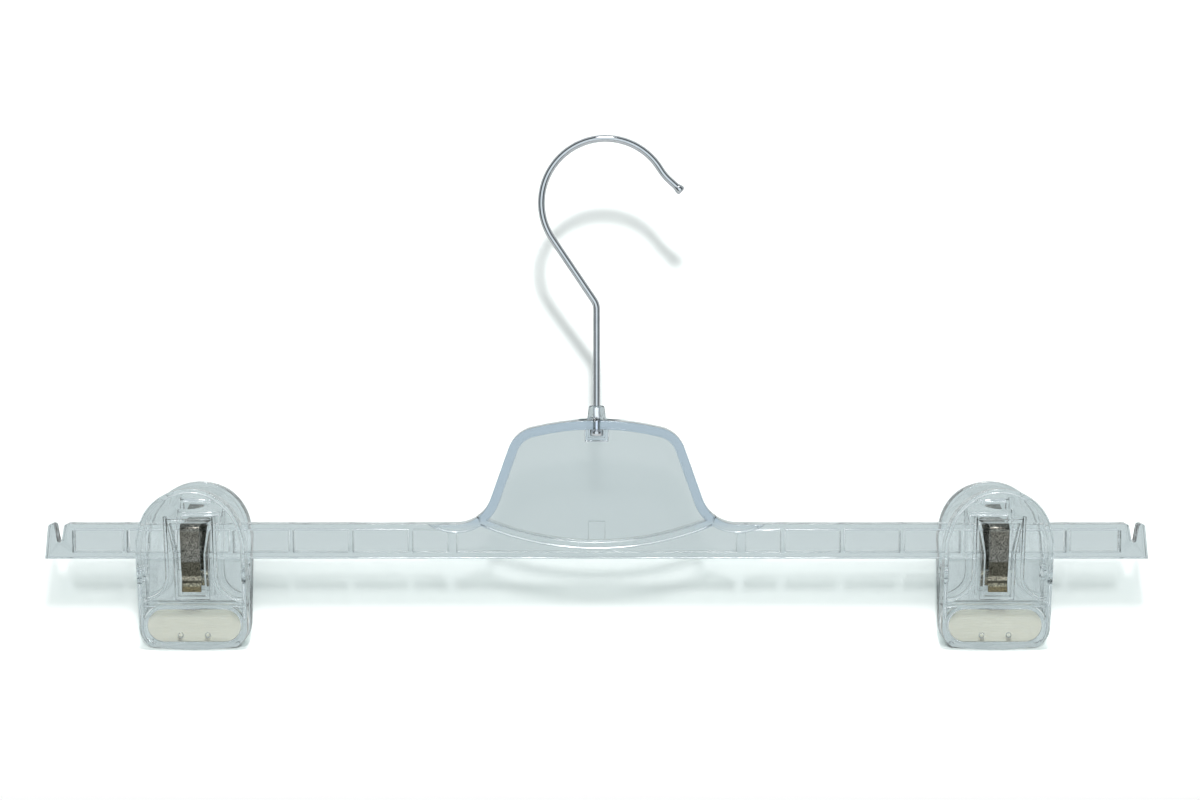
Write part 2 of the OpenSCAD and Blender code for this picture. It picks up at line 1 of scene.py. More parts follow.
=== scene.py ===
# %% [markdown]
# # A clear skirt hanger
# A moulded bar of clear plastic with a bell-shaped middle, a chromed wire hook
# that turns in it, and two clips that slide along it. Each clip is two clear
# jaws on snapped knuckles, an arch of spring steel over the bar, and two
# ivory grip pads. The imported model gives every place, so nothing is fitted by
# eye: this file gives the pieces their finish and their fine form.

import math

import bmesh
import bpy
import numpy as np
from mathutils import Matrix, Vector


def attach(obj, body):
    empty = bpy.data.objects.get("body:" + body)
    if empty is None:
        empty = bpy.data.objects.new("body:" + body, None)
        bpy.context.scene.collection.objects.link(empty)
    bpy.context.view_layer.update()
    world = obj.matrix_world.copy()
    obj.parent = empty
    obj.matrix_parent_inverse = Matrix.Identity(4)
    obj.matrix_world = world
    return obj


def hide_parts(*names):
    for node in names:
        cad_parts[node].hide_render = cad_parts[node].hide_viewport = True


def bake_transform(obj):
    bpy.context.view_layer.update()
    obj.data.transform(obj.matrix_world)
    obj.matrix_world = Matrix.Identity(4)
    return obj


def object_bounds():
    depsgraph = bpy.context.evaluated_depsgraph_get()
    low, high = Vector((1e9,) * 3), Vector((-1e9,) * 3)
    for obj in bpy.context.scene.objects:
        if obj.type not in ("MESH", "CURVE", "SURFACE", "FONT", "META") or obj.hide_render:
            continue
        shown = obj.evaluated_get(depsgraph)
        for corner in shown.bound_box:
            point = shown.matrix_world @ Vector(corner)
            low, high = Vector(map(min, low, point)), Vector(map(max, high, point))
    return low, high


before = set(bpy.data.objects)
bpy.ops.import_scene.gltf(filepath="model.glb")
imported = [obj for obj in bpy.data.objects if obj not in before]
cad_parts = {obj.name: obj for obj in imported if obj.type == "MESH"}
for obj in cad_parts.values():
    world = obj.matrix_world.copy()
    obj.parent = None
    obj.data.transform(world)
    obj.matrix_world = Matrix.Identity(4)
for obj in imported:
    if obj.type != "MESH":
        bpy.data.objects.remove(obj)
cad_low, cad_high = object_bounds()
print("nodes", len(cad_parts), "box", list(cad_low), list(cad_high))

# %% [markdown]
# ## Camera
# The picture was taken from nearly straight ahead, so the camera stands only a
# few degrees above the middle of the hanger. A long lens from 0.75 m gives the
# back jaws the same small shift towards the middle that the picture has.

# %% Camera
CAMERA_AIM = np.array([0.0011, 0.0, -0.0837])
CAMERA_RISE, CAMERA_AWAY = math.radians(4.0), 0.75
to_camera = np.array([0.0, -math.cos(CAMERA_RISE), math.sin(CAMERA_RISE)])

scene = bpy.context.scene
scene.view_settings.view_transform = "Standard"
camera = bpy.data.objects.new("camera", bpy.data.cameras.new("camera"))
camera.data.sensor_width = 36.0
camera.data.lens = 69.0
camera.location = CAMERA_AIM + CAMERA_AWAY * to_camera
camera.rotation_euler = (math.pi / 2 - CAMERA_RISE, 0.0, 0.0)
camera.data.clip_start = 0.01
scene.collection.objects.link(camera)
scene.camera = camera
print("camera at", tuple(round(c, 4) for c in camera.location))

# %% [markdown]
# ## Helpers for surfaces
# Every new piece is a grid of points worked out with numpy. The grid's faces
# are the same for all of them: each point with its next neighbours along the
# rows and columns, going round where the surface closes on itself.


# %% Helpers for surfaces
def grid_faces(rows, columns):
    """Quads of a grid whose columns go round: corner (i, j) with (i, j + 1),
    (i + 1, j + 1) and (i + 1, j), where j + 1 wraps to 0."""
    i, j = np.meshgrid(np.arange(rows - 1), np.arange(columns), indexing="ij")
    here, right = i * columns + j, i * columns + (j + 1) % columns
    return np.stack([here, right, right + columns, here + columns], -1).reshape(-1, 4)


def make_piece(name, grid, body=None, close_ends=True):
    """A closed skin from a grid of points, rows x columns x 3: its quads, and a
    cap over the first and the last row."""
    rows, columns = grid.shape[:2]
    faces = grid_faces(rows, columns).tolist()
    if close_ends:
        last = (rows - 1) * columns
        faces.append(list(range(columns))[::-1])
        faces.append(list(range(last, last + columns)))
    mesh = bpy.data.meshes.new(name)
    mesh.from_pydata(grid.reshape(-1, 3).tolist(), [], faces)
    shell = bmesh.new()
    shell.from_mesh(mesh)
    bmesh.ops.remove_doubles(shell, verts=shell.verts, dist=1e-7)
    bmesh.ops.recalc_face_normals(shell, faces=shell.faces)
    shell.to_mesh(mesh)
    shell.free()
    mesh.polygons.foreach_set("use_smooth", np.ones(len(mesh.polygons), bool))
    piece = bpy.data.objects.new(name, mesh)
    scene.collection.objects.link(piece)
    if body:
        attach(piece, body)
    print(name, len(mesh.vertices), "points")
    return piece


def arc(centre, radius, start, end, count):
    """Points on a circle in a plane: centre + radius * (cos a, sin a), with the
    angle a in degrees going evenly from start to end."""
    a = np.radians(np.linspace(start, end, count))
    return np.stack([centre[0] + radius * np.cos(a), centre[1] + radius * np.sin(a)], -1)


def join_path(*parts):
    """Parts of a flat path set end to end, without the doubled points."""
    path = np.concatenate(parts)
    keep = np.r_[True, np.linalg.norm(np.diff(path, axis=0), axis=1) > 1e-7]
    return path[keep]


def walk(path, distances):
    """Place and unit direction on a flat path at given distances along it:
    both come from straight interpolation over the length walked, the direction
    from a short stretch to either side of the place."""
    steps = np.r_[0.0, np.cumsum(np.linalg.norm(np.diff(path, axis=0), axis=1))]
    at = lambda d: np.stack([np.interp(d, steps, path[:, k]) for k in (0, 1)], -1)
    span, stretch = steps[-1], 0.0002
    low, high = (np.clip(distances + way * stretch, 0, span) for way in (-1, 1))
    ahead = at(high) - at(low)
    return at(distances), ahead / np.linalg.norm(ahead, axis=1)[:, None], span


# %% [markdown]
# ## Helpers for nodes
# Materials and some modifiers are trees of nodes. A few short helpers add a
# node with its values, do a sum, spread a value or blend two colours, so that
# each finish below reads as a list of what it does.


# %% Helpers for nodes
def feed(tree, socket, value):
    """Link a socket to another node's output, or give it a plain value."""
    if isinstance(value, bpy.types.NodeSocket):
        tree.links.new(value, socket)
    else:
        socket.default_value = value


def node(tree, kind, **values):
    """A node of a kind, with its settings, links and plain inputs given by
    name, where _ stands for a space."""
    made = tree.nodes.new(kind)
    for key, value in values.items():
        if hasattr(made, key):
            setattr(made, key, value)
        else:
            feed(tree, made.inputs[key.replace("_", " ")], value)
    return made


def calculate(tree, operation, *values):
    """The result of a math operation on one or two values or outputs."""
    made = node(tree, "ShaderNodeMath", operation=operation)
    for socket, value in zip(made.inputs, values):
        feed(tree, socket, value)
    return made.outputs[0]


def spread(tree, value, low, high):
    """value, from 0 to 1, mapped to low to high."""
    return node(tree, "ShaderNodeMapRange", Value=value, To_Min=low,
                To_Max=high).outputs["Result"]


def reach(tree, value, start, full):
    """0 where value is at start, 1 where it is at full, evenly between them,
    and no less and no more outside them."""
    return node(tree, "ShaderNodeMapRange", Value=value, From_Min=start,
                From_Max=full).outputs["Result"]


def two_tones(tree, fac, first, second):
    """A colour that goes from first to second as fac goes from 0 to 1. Each is
    three numbers or another node's output."""
    ends = [(*end, 1.0) if isinstance(end, tuple) else end for end in (first, second)]
    return node(tree, "ShaderNodeMix", data_type="RGBA", Factor=fac, A=ends[0],
                B=ends[1]).outputs["Result"]


def colour_ramp(tree, fac, stops):
    """A colour read at fac from a ramp, whose stops are (place, colour)."""
    ramp = node(tree, "ShaderNodeValToRGB", Fac=fac)
    while len(ramp.color_ramp.elements) < len(stops):
        ramp.color_ramp.elements.new(0.5)
    for element, (place, colour) in zip(ramp.color_ramp.elements, stops):
        element.position = place
        element.color = (*colour, 1.0)
    return ramp.outputs["Color"]


# %% [markdown]
# ## Effects that several finishes share
# Two small node groups are built once. One is the faint unevenness that a
# steel mould leaves in plastic and rubber. The other is the fine drawn grain
# and rub marks of metal. Both put out numbers that change over the surface,
# and each finish uses them with its own values.

# %% Shared effects
FLOAT, VECTOR = "NodeSocketFloat", "NodeSocketVector"


def new_group(name, scale, outputs):
    """An empty shader node group with a place and a scale as inputs, and with
    named numbers as outputs."""
    group = bpy.data.node_groups.new(name, "ShaderNodeTree")
    group.interface.new_socket("Vector", in_out="INPUT", socket_type=VECTOR)
    group.interface.new_socket("Scale", in_out="INPUT",
                               socket_type=FLOAT).default_value = scale
    for label in outputs:
        group.interface.new_socket(label, in_out="OUTPUT", socket_type=FLOAT)
    ends = group.nodes.new("NodeGroupInput"), group.nodes.new("NodeGroupOutput")
    return group, ends[0].outputs["Vector"], ends[0].outputs["Scale"], ends[1].inputs


def noise(tree, vector, scale, detail):
    """A noise texture at the given places."""
    return node(tree, "ShaderNodeTexNoise", Vector=vector, Scale=scale,
                Detail=detail).outputs["Fac"]


mould_skin, place, scale, out = new_group("mould skin", 90.0, ("Height", "Cloud"))
feed(mould_skin, out["Height"], noise(mould_skin, place, scale, 2.0))
feed(mould_skin, out["Cloud"], noise(mould_skin, place, 35.0, 4.0))

metal_grain, place, scale, out = new_group("metal grain", 2500.0, ("Grain", "Rub"))
feed(metal_grain, out["Grain"], noise(metal_grain, place, scale, 3.0))
feed(metal_grain, out["Rub"], noise(metal_grain, place, 260.0, 6.0))
print("groups", [g.name for g in bpy.data.node_groups])


# %% [markdown]
# ## From an effect to a finish
# Each finish starts from a Principled shader and one shared effect. Its colour,
# its roughness and a fine bump follow the effect, and the rest of its values
# are plain numbers.


# %% Helpers for materials
def new_material(name, effect, scale):
    """A material with a Principled shader and one shared effect, both on the
    piece's own coordinates."""
    material = bpy.data.materials.new(name)
    material.use_nodes = True
    tree = material.node_tree
    where = node(tree, "ShaderNodeTexCoord").outputs["Object"]
    group = node(tree, "ShaderNodeGroup", node_tree=effect, Vector=where, Scale=scale)
    return material, tree, tree.nodes["Principled BSDF"], group.outputs, where


def finish(tree, shader, colour, roughness, bump_from, bump, depth, **plain):
    """Colour, roughness and a bump of the given strength and depth, and plain
    values for other sockets, where _ stands for a space."""
    feed(tree, shader.inputs["Base Color"], colour)
    feed(tree, shader.inputs["Roughness"], roughness)
    raised = node(tree, "ShaderNodeBump", Strength=bump, Distance=depth,
                  Height=bump_from)
    feed(tree, shader.inputs["Normal"], raised.outputs["Normal"])
    for key, value in plain.items():
        feed(tree, shader.inputs[key.replace("_", " ")], value)


# %% [markdown]
# ## Clear plastic
# The bar and the jaws are one clear moulding plastic, such as polystyrene or
# polycarbonate. It is nearly colourless, bends light strongly and is glossy,
# with a very slight waviness from the mould. A full transmission shader with
# that plastic's refractive index gives the edge lines of the picture by
# itself. The roughness starts below nothing, which counts as nothing, so that
# only the cloudier patches are less than perfectly smooth.
#
# The rim of the bell is the thickest place and shows as a blue-grey band, which
# comes from the way light crosses it. Absorption alone would have to be so strong
# for it that the jaws went dark, so a mask made of three ranges of place paints
# that blue-grey shade into the rim's surface colour.

# %% Clear plastic
RIM_PAINTED_SHADE_MASK = {"X": (0.100, 0.098), "Y": (0.0034, 0.0037), "Z": (0.1265, 0.1225)}
clear_plastic, tree, shader, skin, where = new_material(
    "clear plastic", mould_skin, 110.0)
parted = node(tree, "ShaderNodeSeparateXYZ", Vector=where)
on_rim_painted_shade = 1.0
for axis, (start, full) in RIM_PAINTED_SHADE_MASK.items():
    size = calculate(tree, "ABSOLUTE", parted.outputs[axis])
    on_rim_painted_shade = calculate(tree, "MULTIPLY", reach(tree, size, start, full), on_rim_painted_shade)
cloud = skin["Cloud"]
plain = two_tones(tree, cloud, (0.984, 0.992, 0.993), (0.996, 0.998, 0.998))
# painted shade: the rim's blue-grey band from light crossing thick plastic, as a surface
# colour
rim = two_tones(tree, cloud, (0.72, 0.79, 0.90), (0.76, 0.83, 0.93))
finish(tree, shader, two_tones(tree, on_rim_painted_shade, plain, rim),
       spread(tree, cloud, -0.06, 0.03), skin["Height"], 0.12, 0.0004,
       IOR=1.58, Transmission_Weight=1.0)

# %% [markdown]
# A ray tracer treats clear plastic as a wall for lamp light, so the pads would
# stay dark behind it and the paper would get black shadows. Rays that only ask
# whether a lamp is seen therefore meet a lightly tinted see-through shader.
# Inside, a weak absorption makes long ways through the plastic a little bluer.

# %% Lamp light through the plastic
asks = node(tree, "ShaderNodeLightPath").outputs["Is Shadow Ray"]
see_through = node(tree, "ShaderNodeBsdfTransparent", Color=(0.74, 0.765, 0.76, 1.0))
either = node(tree, "ShaderNodeMixShader", Fac=asks)
feed(tree, either.inputs[1], shader.outputs[0])
feed(tree, either.inputs[2], see_through.outputs[0])
inside = node(tree, "ShaderNodeVolumeAbsorption", Color=(0.64, 0.74, 0.79, 1.0),
              Density=18.0)
output = tree.nodes["Material Output"]
feed(tree, output.inputs["Surface"], either.outputs[0])
feed(tree, output.inputs["Volume"], inside.outputs[0])
print("clear plastic", len(tree.nodes), "nodes")

# %% [markdown]
# ## Rounded edges
# The modelled parts keep their shape. A mould has no razor edges, so a bevel
# rounds them: the loose triangles are welded, and edges sharper than 35 degrees
# get a rounding, after which the larger faces lead the normals, so that flats
# stay flat. A small node tree gives each edge its share of the bevel's width.


# %% Helpers for the rounding
def edge_tree(name):
    """A geometry node tree with its way in and out, the edges' angle, and the
    size of each place coordinate without its sign."""
    tree = bpy.data.node_groups.new(name, "GeometryNodeTree")
    for way in ("INPUT", "OUTPUT"):
        tree.interface.new_socket("Geometry", in_out=way,
                                  socket_type="NodeSocketGeometry")
    entry, leave = tree.nodes.new("NodeGroupInput"), tree.nodes.new("NodeGroupOutput")
    angle = node(tree, "GeometryNodeInputMeshEdgeAngle").outputs[0]
    parted = node(tree, "ShaderNodeSeparateXYZ",
                  Vector=node(tree, "GeometryNodeInputPosition").outputs[0])
    size = {axis: calculate(tree, "ABSOLUTE", parted.outputs[axis]) for axis in "XYZ"}
    return tree, entry.outputs[0], leave.inputs[0], angle, size


def sharper(tree, angle, degrees):
    """Edges that turn by more than an angle."""
    return node(tree, "FunctionNodeCompare", operation="GREATER_THAN", A=angle,
                B=math.radians(degrees)).outputs[0]


def both_of(tree, first, second, operation="AND"):
    """A test made of two tests."""
    test = node(tree, "FunctionNodeBooleanMath", operation=operation)
    feed(tree, test.inputs[0], first)
    feed(tree, test.inputs[1], second)
    return test.outputs[0]


def within(tree, size, ranges):
    """Places whose sizes all lie within the given middles and reaches."""
    chosen = None
    for axis, (middle, side) in ranges.items():
        test = node(tree, "FunctionNodeCompare", operation="EQUAL", A=size[axis],
                    B=middle, Epsilon=side).outputs[0]
        chosen = both_of(tree, chosen, test) if chosen else test
    return chosen


def store_share(tree, geometry, chosen, share):
    """The chosen edges' share of the bevel, kept as the bevel's edge weight."""
    return node(tree, "GeometryNodeStoreNamedAttribute", data_type="FLOAT",
                domain="EDGE", Name="bevel_weight_edge", Geometry=geometry,
                Selection=chosen, Value=share).outputs[0]


# %% [markdown]
# On the body the whole width goes to the rim, which alone reaches far from the
# middle plane, and less than half of it to the rest. On a jaw every sharp edge
# gets all of it except the thin one at the top of the thumb scoop, which a
# bevel would turn inside out, and the scoop's own border is kept crisp.

# %% Shares on the body
BEVEL_FROM, RIM_FROM, FLAT_SHARE = 35.0, 0.0036, 0.4
body_shares, entry, leave, angle, size = edge_tree("body shares")
share = spread(body_shares, reach(body_shares, size["Y"], RIM_FROM, RIM_FROM + 0.0001),
               FLAT_SHARE, 1.0)
bevelled = sharper(body_shares, angle, BEVEL_FROM)
feed(body_shares, leave, store_share(body_shares, entry, bevelled, share))

# %% Shares on a jaw
# Middle and reach of each range of places, which are counted without their sign.
THIN_EDGE = {"X": (0.1308, 0.0060), "Y": (0.0122, 0.0018), "Z": (0.1133, 0.0022)}
SCOOP = {"Y": (0.0130, 0.0025), "Z": (0.1195, 0.0085)}
CRISP_FROM = 8.0
jaw_shares, entry, leave, angle, size = edge_tree("jaw shares")
bevelled = both_of(jaw_shares, sharper(jaw_shares, angle, BEVEL_FROM),
                   within(jaw_shares, size, THIN_EDGE), "NIMPLY")
border = both_of(jaw_shares, sharper(jaw_shares, angle, CRISP_FROM),
                 within(jaw_shares, size, SCOOP))
crisp = node(jaw_shares, "GeometryNodeSetShadeSmooth", domain="EDGE", Shade_Smooth=False,
             Geometry=store_share(jaw_shares, entry, bevelled, 1.0), Selection=border)
feed(jaw_shares, leave, crisp.outputs[0])
print("trees", len(body_shares.nodes), len(jaw_shares.nodes), "nodes")

# %% [markdown]
# Each moulding gets the same row of modifiers. The body takes a wider rounding
# in more steps than the small jaws, and all of them take the clear plastic.


# %% Rounded edges on the modelled plastic
def round_edges(name, width, shares, segments):
    """Weld and bevel one modelled part by modifiers, and let the larger faces
    lead the normals."""
    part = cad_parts[name]
    part.data.polygons.foreach_set("use_smooth", np.ones(len(part.data.polygons), bool))
    part.modifiers.new("weld", "WELD").merge_threshold = 1e-6
    part.modifiers.new("shares", "NODES").node_group = shares
    bevel = part.modifiers.new("mould edge", "BEVEL")
    bevel.limit_method = "WEIGHT"
    bevel.width = width
    bevel.segments = segments
    bevel.use_clamp_overlap = False
    bevel.loop_slide = False
    weighted = part.modifiers.new("flats stay flat", "WEIGHTED_NORMAL")
    weighted.mode = "FACE_AREA"
    weighted.weight = 80
    weighted.keep_sharp = True
    return part


MOULDINGS = {"hanger_body": (0.0005, body_shares, 4)}
MOULDINGS.update({f"{side}_{face}_jaw": (0.0002, jaw_shares, 2)
                  for side in ("left", "right") for face in ("front", "back")})
for name, values in MOULDINGS.items():
    part = round_edges(name, *values)
    part.data.materials.clear()
    part.data.materials.append(clear_plastic)
print("rounded", len(MOULDINGS), "mouldings")

# %% [markdown]
# ## Hook
# The hook is one drawn wire, cold-headed at the foot, bent round a former and
# pressed out a little at the tip, then chromed. It is a round profile carried
# along a flat path, which is worked out from circles and straights that touch
# each other: the neck, a leaning run, the round and a curl at the tip.

# %% Hook path
WIRE_R, HOOK_R, NECK_R, CURL_R = 0.00115, 0.0208, 0.005, 0.015
LEAN, END, CURL = 34.0, 33.0, 15.0  # of the run, where the round ends, of the tip
ROUND = np.array([0.0029, -0.01965])  # its centre, x and z
HEAD_LOW, TIP_L = -0.0955, 0.0056


def heading(angle):
    """Unit vector at an angle in degrees from +X towards +Z."""
    return np.array([math.cos(math.radians(angle)), math.sin(math.radians(angle))])


run_top = ROUND + HOOK_R * heading(180 + LEAN)
run_length = -run_top[0] / math.sin(math.radians(LEAN))
vertex_z = run_top[1] - run_length * math.cos(math.radians(LEAN))
cut = NECK_R * math.tan(math.radians(LEAN / 2))
round_end = ROUND + HOOK_R * heading(END)
curl_start = round_end + WIRE_R * heading(END - 90)
curl_centre = curl_start + CURL_R * heading(END)
curl_end = curl_centre + CURL_R * heading(180 + END + CURL)
tip_end = curl_end + TIP_L * heading(END + CURL - 90)
hook_path = join_path(
    np.array([[0.0, HEAD_LOW], [0.0, vertex_z - cut]]),
    arc((-NECK_R, vertex_z - cut), NECK_R, 0.0, LEAN, 12),
    run_top[None, :],
    arc(ROUND, HOOK_R, 180 + LEAN, END, 120),
    curl_start[None, :],
    arc(curl_centre, CURL_R, 180 + END, 180 + END + CURL, 14),
    tip_end[None, :])
hook_length = walk(hook_path, np.array([0.0]))[2]
print("wire length", round(hook_length * 1000, 1), "mm")

# %% [markdown]
# The radius has a table for each end: a head at the foot that keeps the hook in
# its collar, and a tip that was pressed wider. Between them it is plain wire.

# %% Hook wire
FOOT = 0.001 * np.array([  # distance from the foot; radius
    [0.0, 1.7], [0.1, 2.05], [0.35, 2.25], [1.85, 2.25], [2.1, 2.05], [2.2, 1.75],
    [2.2, 1.15]])
TIP = 0.001 * np.array([  # distance before the tip; radius
    [2.6, 1.15], [1.9, 1.36], [1.15, 1.55], [0.6, 1.55], [0.25, 1.4], [0.06, 1.1],
    [0.0, 0.7]])
TIP[:, 0] = hook_length - TIP[:, 0]
wire = np.linspace(FOOT[-1, 0] + 0.0002, TIP[0, 0] - 0.0002, 260)
distance = np.r_[FOOT[:, 0], wire, TIP[:, 0]]
radius = np.r_[FOOT[:, 1], np.full(len(wire), WIRE_R), TIP[:, 1]]


def wire_skin(path, distance, radius, around=40):
    """A round wire: place on the path + radius * (cos t * side + sin t * Y),
    where side is the path's direction turned a quarter in its plane."""
    place, ahead, _ = walk(path, distance)
    t = np.linspace(0, 2 * np.pi, around, endpoint=False)
    side = np.stack([-ahead[:, 1], np.zeros(len(ahead)), ahead[:, 0]], -1)
    middle = np.stack([place[:, 0], np.zeros(len(place)), place[:, 1]], -1)
    out = np.cos(t)[None, :, None] * side[:, None, :]
    out = out + np.sin(t)[None, :, None] * np.array([0.0, 1.0, 0.0])
    return middle[:, None, :] + radius[:, None, None] * out


hook = make_piece("hook_wire", wire_skin(hook_path, distance, radius), "hook")
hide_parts("hook")

# %% [markdown]
# ## Chrome
# Chrome plate is a mirror with a trace of the wire's drawing lines under it.
# The finish is a metal with low roughness that varies a little with the
# shared grain, and a very shallow bump.

# %% Chrome
chrome, tree, shader, grain, _ = new_material("chrome plate", metal_grain, 900.0)
finish(tree, shader,
       two_tones(tree, grain["Rub"], (0.60, 0.61, 0.65), (0.76, 0.77, 0.80)),
       spread(tree, grain["Rub"], 0.02, 0.10), grain["Grain"], 0.15, 0.00005,
       Metallic=1.0)
hook.data.materials.append(chrome)
print("chrome plate", len(tree.nodes), "nodes")

# %% [markdown]
# ## Springs
# Each clip is closed by one strip of spring steel, bent over the bar like a
# staple with its two feet turned into the pockets of the jaws. A strip is a
# thin rounded rectangle carried along a flat path. It is made as two halves
# that meet on top of the bar, one on the side of each jaw.

# %% Spring path
CLIP_X, PIVOT_Z = {"left": -0.1314730, "right": 0.1302123}, -0.1401
STRIP_W, STRIP_T, STRIP_EDGE = 0.0063, 0.0006, 0.00014
SPRING_BENDS = np.array([  # y, z from the pivot, and the radius of the bend there, mm
    [-7.5426, -5.6, 0.0], [-7.0502, -1.7, 1.1], [-8.9206, 4.2, 3.0],
    [-10.7747, 16.7, 2.0], [0.0, 16.7, 0.0]]) * 0.001


def rounded_path(corners, count=14):
    """A flat path with rounded corners: at each corner the two straights stop
    r / tan(half the corner's angle) short, and a circle of radius r joins them."""
    parts = [corners[:1, :2]]
    for before, corner, after in zip(corners[:-2], corners[1:-1], corners[2:]):
        u = (before - corner)[:2] / np.linalg.norm((before - corner)[:2])
        w = (after - corner)[:2] / np.linalg.norm((after - corner)[:2])
        half = math.acos(float(u @ w)) / 2
        bisector = (u + w) / np.linalg.norm(u + w)
        centre = corner[:2] + bisector * corner[2] / math.sin(half)
        start = corner[:2] + u * corner[2] / math.tan(half) - centre
        end = corner[:2] + w * corner[2] / math.tan(half) - centre
        a0, a1 = (math.degrees(math.atan2(v[1], v[0])) for v in (start, end))
        a1 = a0 + (a1 - a0 + 180) % 360 - 180
        parts.append(arc(centre, corner[2], a0, a1, count))
    return join_path(*parts, corners[-1:, :2])


spring_path = rounded_path(SPRING_BENDS)
spring_length = walk(spring_path, np.array([0.0]))[2]
print("spring half", round(spring_length * 1000, 2), "mm")


# %% [markdown]
# The front half's outline is worked out once and turned round for the back.


# %% Spring strips
def strip_skin(path, length, width, thick, edge, rows=130):
    """A flat strip: place on the path + across * X + out * normal, where
    (across, out) goes round a rectangle whose corners are rounded by edge."""
    distance = np.linspace(0.0, length, rows)
    place, ahead, _ = walk(path, distance)
    corner = np.radians(np.linspace(0, 90, 4))
    turn = np.concatenate([corner + k * np.pi / 2 for k in range(4)])
    sign_a = np.repeat([1, -1, -1, 1], 4)
    sign_b = np.repeat([1, 1, -1, -1], 4)
    across = sign_a * (width / 2 - edge) + edge * np.cos(turn)
    out = sign_b * (thick / 2 - edge) + edge * np.sin(turn)
    grid = np.zeros((rows, len(turn), 3))
    grid[..., 0] = across[None, :]
    grid[..., 1] = place[:, None, 0] - out[None, :] * ahead[:, None, 1]
    grid[..., 2] = place[:, None, 1] + out[None, :] * ahead[:, None, 0]
    return grid


def place_in_clip(grid, side, back):
    """A grid in the clip's own frame moved to the left or right clip, turned
    half round Z for the back."""
    turned = grid * np.array([-1.0, -1.0, 1.0]) if back else grid
    return turned + np.array([CLIP_X[side], 0.0, PIVOT_Z])


strip = strip_skin(spring_path, spring_length, STRIP_W, STRIP_T, STRIP_EDGE)
springs = []
for side in CLIP_X:
    for face in ("front", "back"):
        back = face == "back"
        half = make_piece(f"{side}_spring_{face}_half", place_in_clip(strip, side, back))
        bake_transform(half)
        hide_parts(f"{side}_spring")
        springs.append(half)

# %% [markdown]
# ## Spring steel
# Hardened strip comes with a grey rolled skin that is not polished. Its fine
# speckle shows well in the picture, so the grain drives the colour and the
# bump, over a metal of middle roughness. A ramp over the height multiplies
# painted light into the grey: painted shade on the stretch that runs into the
# pocket, painted highlights and thin dark lines at the bends there, and brown
# on the foot.

# %% Spring steel
# painted light by height: painted shade, painted highlights and dark lines on the lower
# strip, and a brown foot
LIGHT_RAMP_LOW, LIGHT_RAMP_HIGH = -0.1465, -0.1230
STRIP_PAINTED_LIGHT_AND_BROWN = [  # height, and what the grey is multiplied by there
    (-0.1457, (0.95, 0.80, 0.52)), (-0.1442, (0.80, 0.66, 0.42)),
    (-0.1436, (1.5, 1.4, 1.1)), (-0.1430, (1.4, 1.3, 1.05)),
    (-0.1427, (0.35, 0.32, 0.25)), (-0.1421, (0.4, 0.37, 0.3)),
    (-0.1417, (2.2, 2.1, 1.8)), (-0.1408, (2.2, 2.1, 1.8)),
    (-0.1403, (0.54, 0.52, 0.43)), (-0.1358, (0.54, 0.52, 0.44)),
    (-0.1354, (1.0, 1.0, 0.98)), (-0.1270, (0.95, 0.92, 0.86))]
steel, tree, shader, grain, where = new_material("spring steel", metal_grain, 2600.0)
speckle = spread(tree, grain["Grain"], -1.3, 2.2)
grey = two_tones(tree, speckle, (0.07, 0.07, 0.066), (0.40, 0.395, 0.375))
parted = node(tree, "ShaderNodeSeparateXYZ", Vector=where)
height = reach(tree, parted.outputs["Z"], LIGHT_RAMP_LOW, LIGHT_RAMP_HIGH)
# the ramp of painted shade, painted highlights and the brown foot
painted_light_and_brown = colour_ramp(tree, height, [
    ((z - LIGHT_RAMP_LOW) / (LIGHT_RAMP_HIGH - LIGHT_RAMP_LOW), colour) for z, colour in STRIP_PAINTED_LIGHT_AND_BROWN])
grey_with_painted_light = node(tree, "ShaderNodeMix", data_type="RGBA", blend_type="MULTIPLY",
              Factor=1.0, A=grey, B=painted_light_and_brown)
finish(tree, shader, grey_with_painted_light.outputs["Result"], spread(tree, grain["Rub"], 0.16, 0.30),
       grain["Grain"], 0.5, 0.00006, Metallic=1.0)
for half in springs:
    half.data.materials.append(steel)
print("spring steel", len(tree.nodes), "nodes")

# %% [markdown]
# ## Grip pads
# A grip pad is a round-ended cushion of ivory silicone, pressed into its seat
# by two pegs. A breath of air is left behind it, because a pad that touched the
# plastic would look wet. Its face is ribbed across so that cloth doesn't slip.
# It is one skin: rings that grow from the pad's middle line to its outline on
# the ribbed face, go round the edge, and shrink again on the back.

# %% Pad surface
PAD_L, PAD_H, PAD_T, PAD_EDGE = 0.0305, 0.011, 0.00212, 0.00035
PAD_FACE, PAD_Z = 0.0002, -0.017
GROOVE_PITCH, GROOVE_DEPTH = 0.0018, 0.0003
HOLLOW_PITCH, HOLLOW_DEPTH = 0.0009, 0.00004
PEG_X, PEG_DROP, PEG_R, PEG_L = 0.0044, 0.0032, 0.00077, 0.0012


def stadium(count):
    """Middle line and outward direction at points round a stadium: two half
    circles about the ends of a middle line, and two straights between them."""
    straight, r = PAD_L - PAD_H, PAD_H / 2
    turn = np.radians(np.linspace(-90, 90, count))
    flat = np.linspace(-straight / 2, straight / 2, count)[1:-1]
    spine = np.concatenate([np.full(count, straight / 2), flat[::-1],
                            np.full(count, -straight / 2), flat])
    out_x = np.concatenate([np.cos(turn), 0 * flat, -np.cos(turn), 0 * flat])
    out_z = np.concatenate([np.sin(turn), 0 * flat + 1, -np.sin(turn), 0 * flat - 1])
    return spine, out_x * r, out_z * r


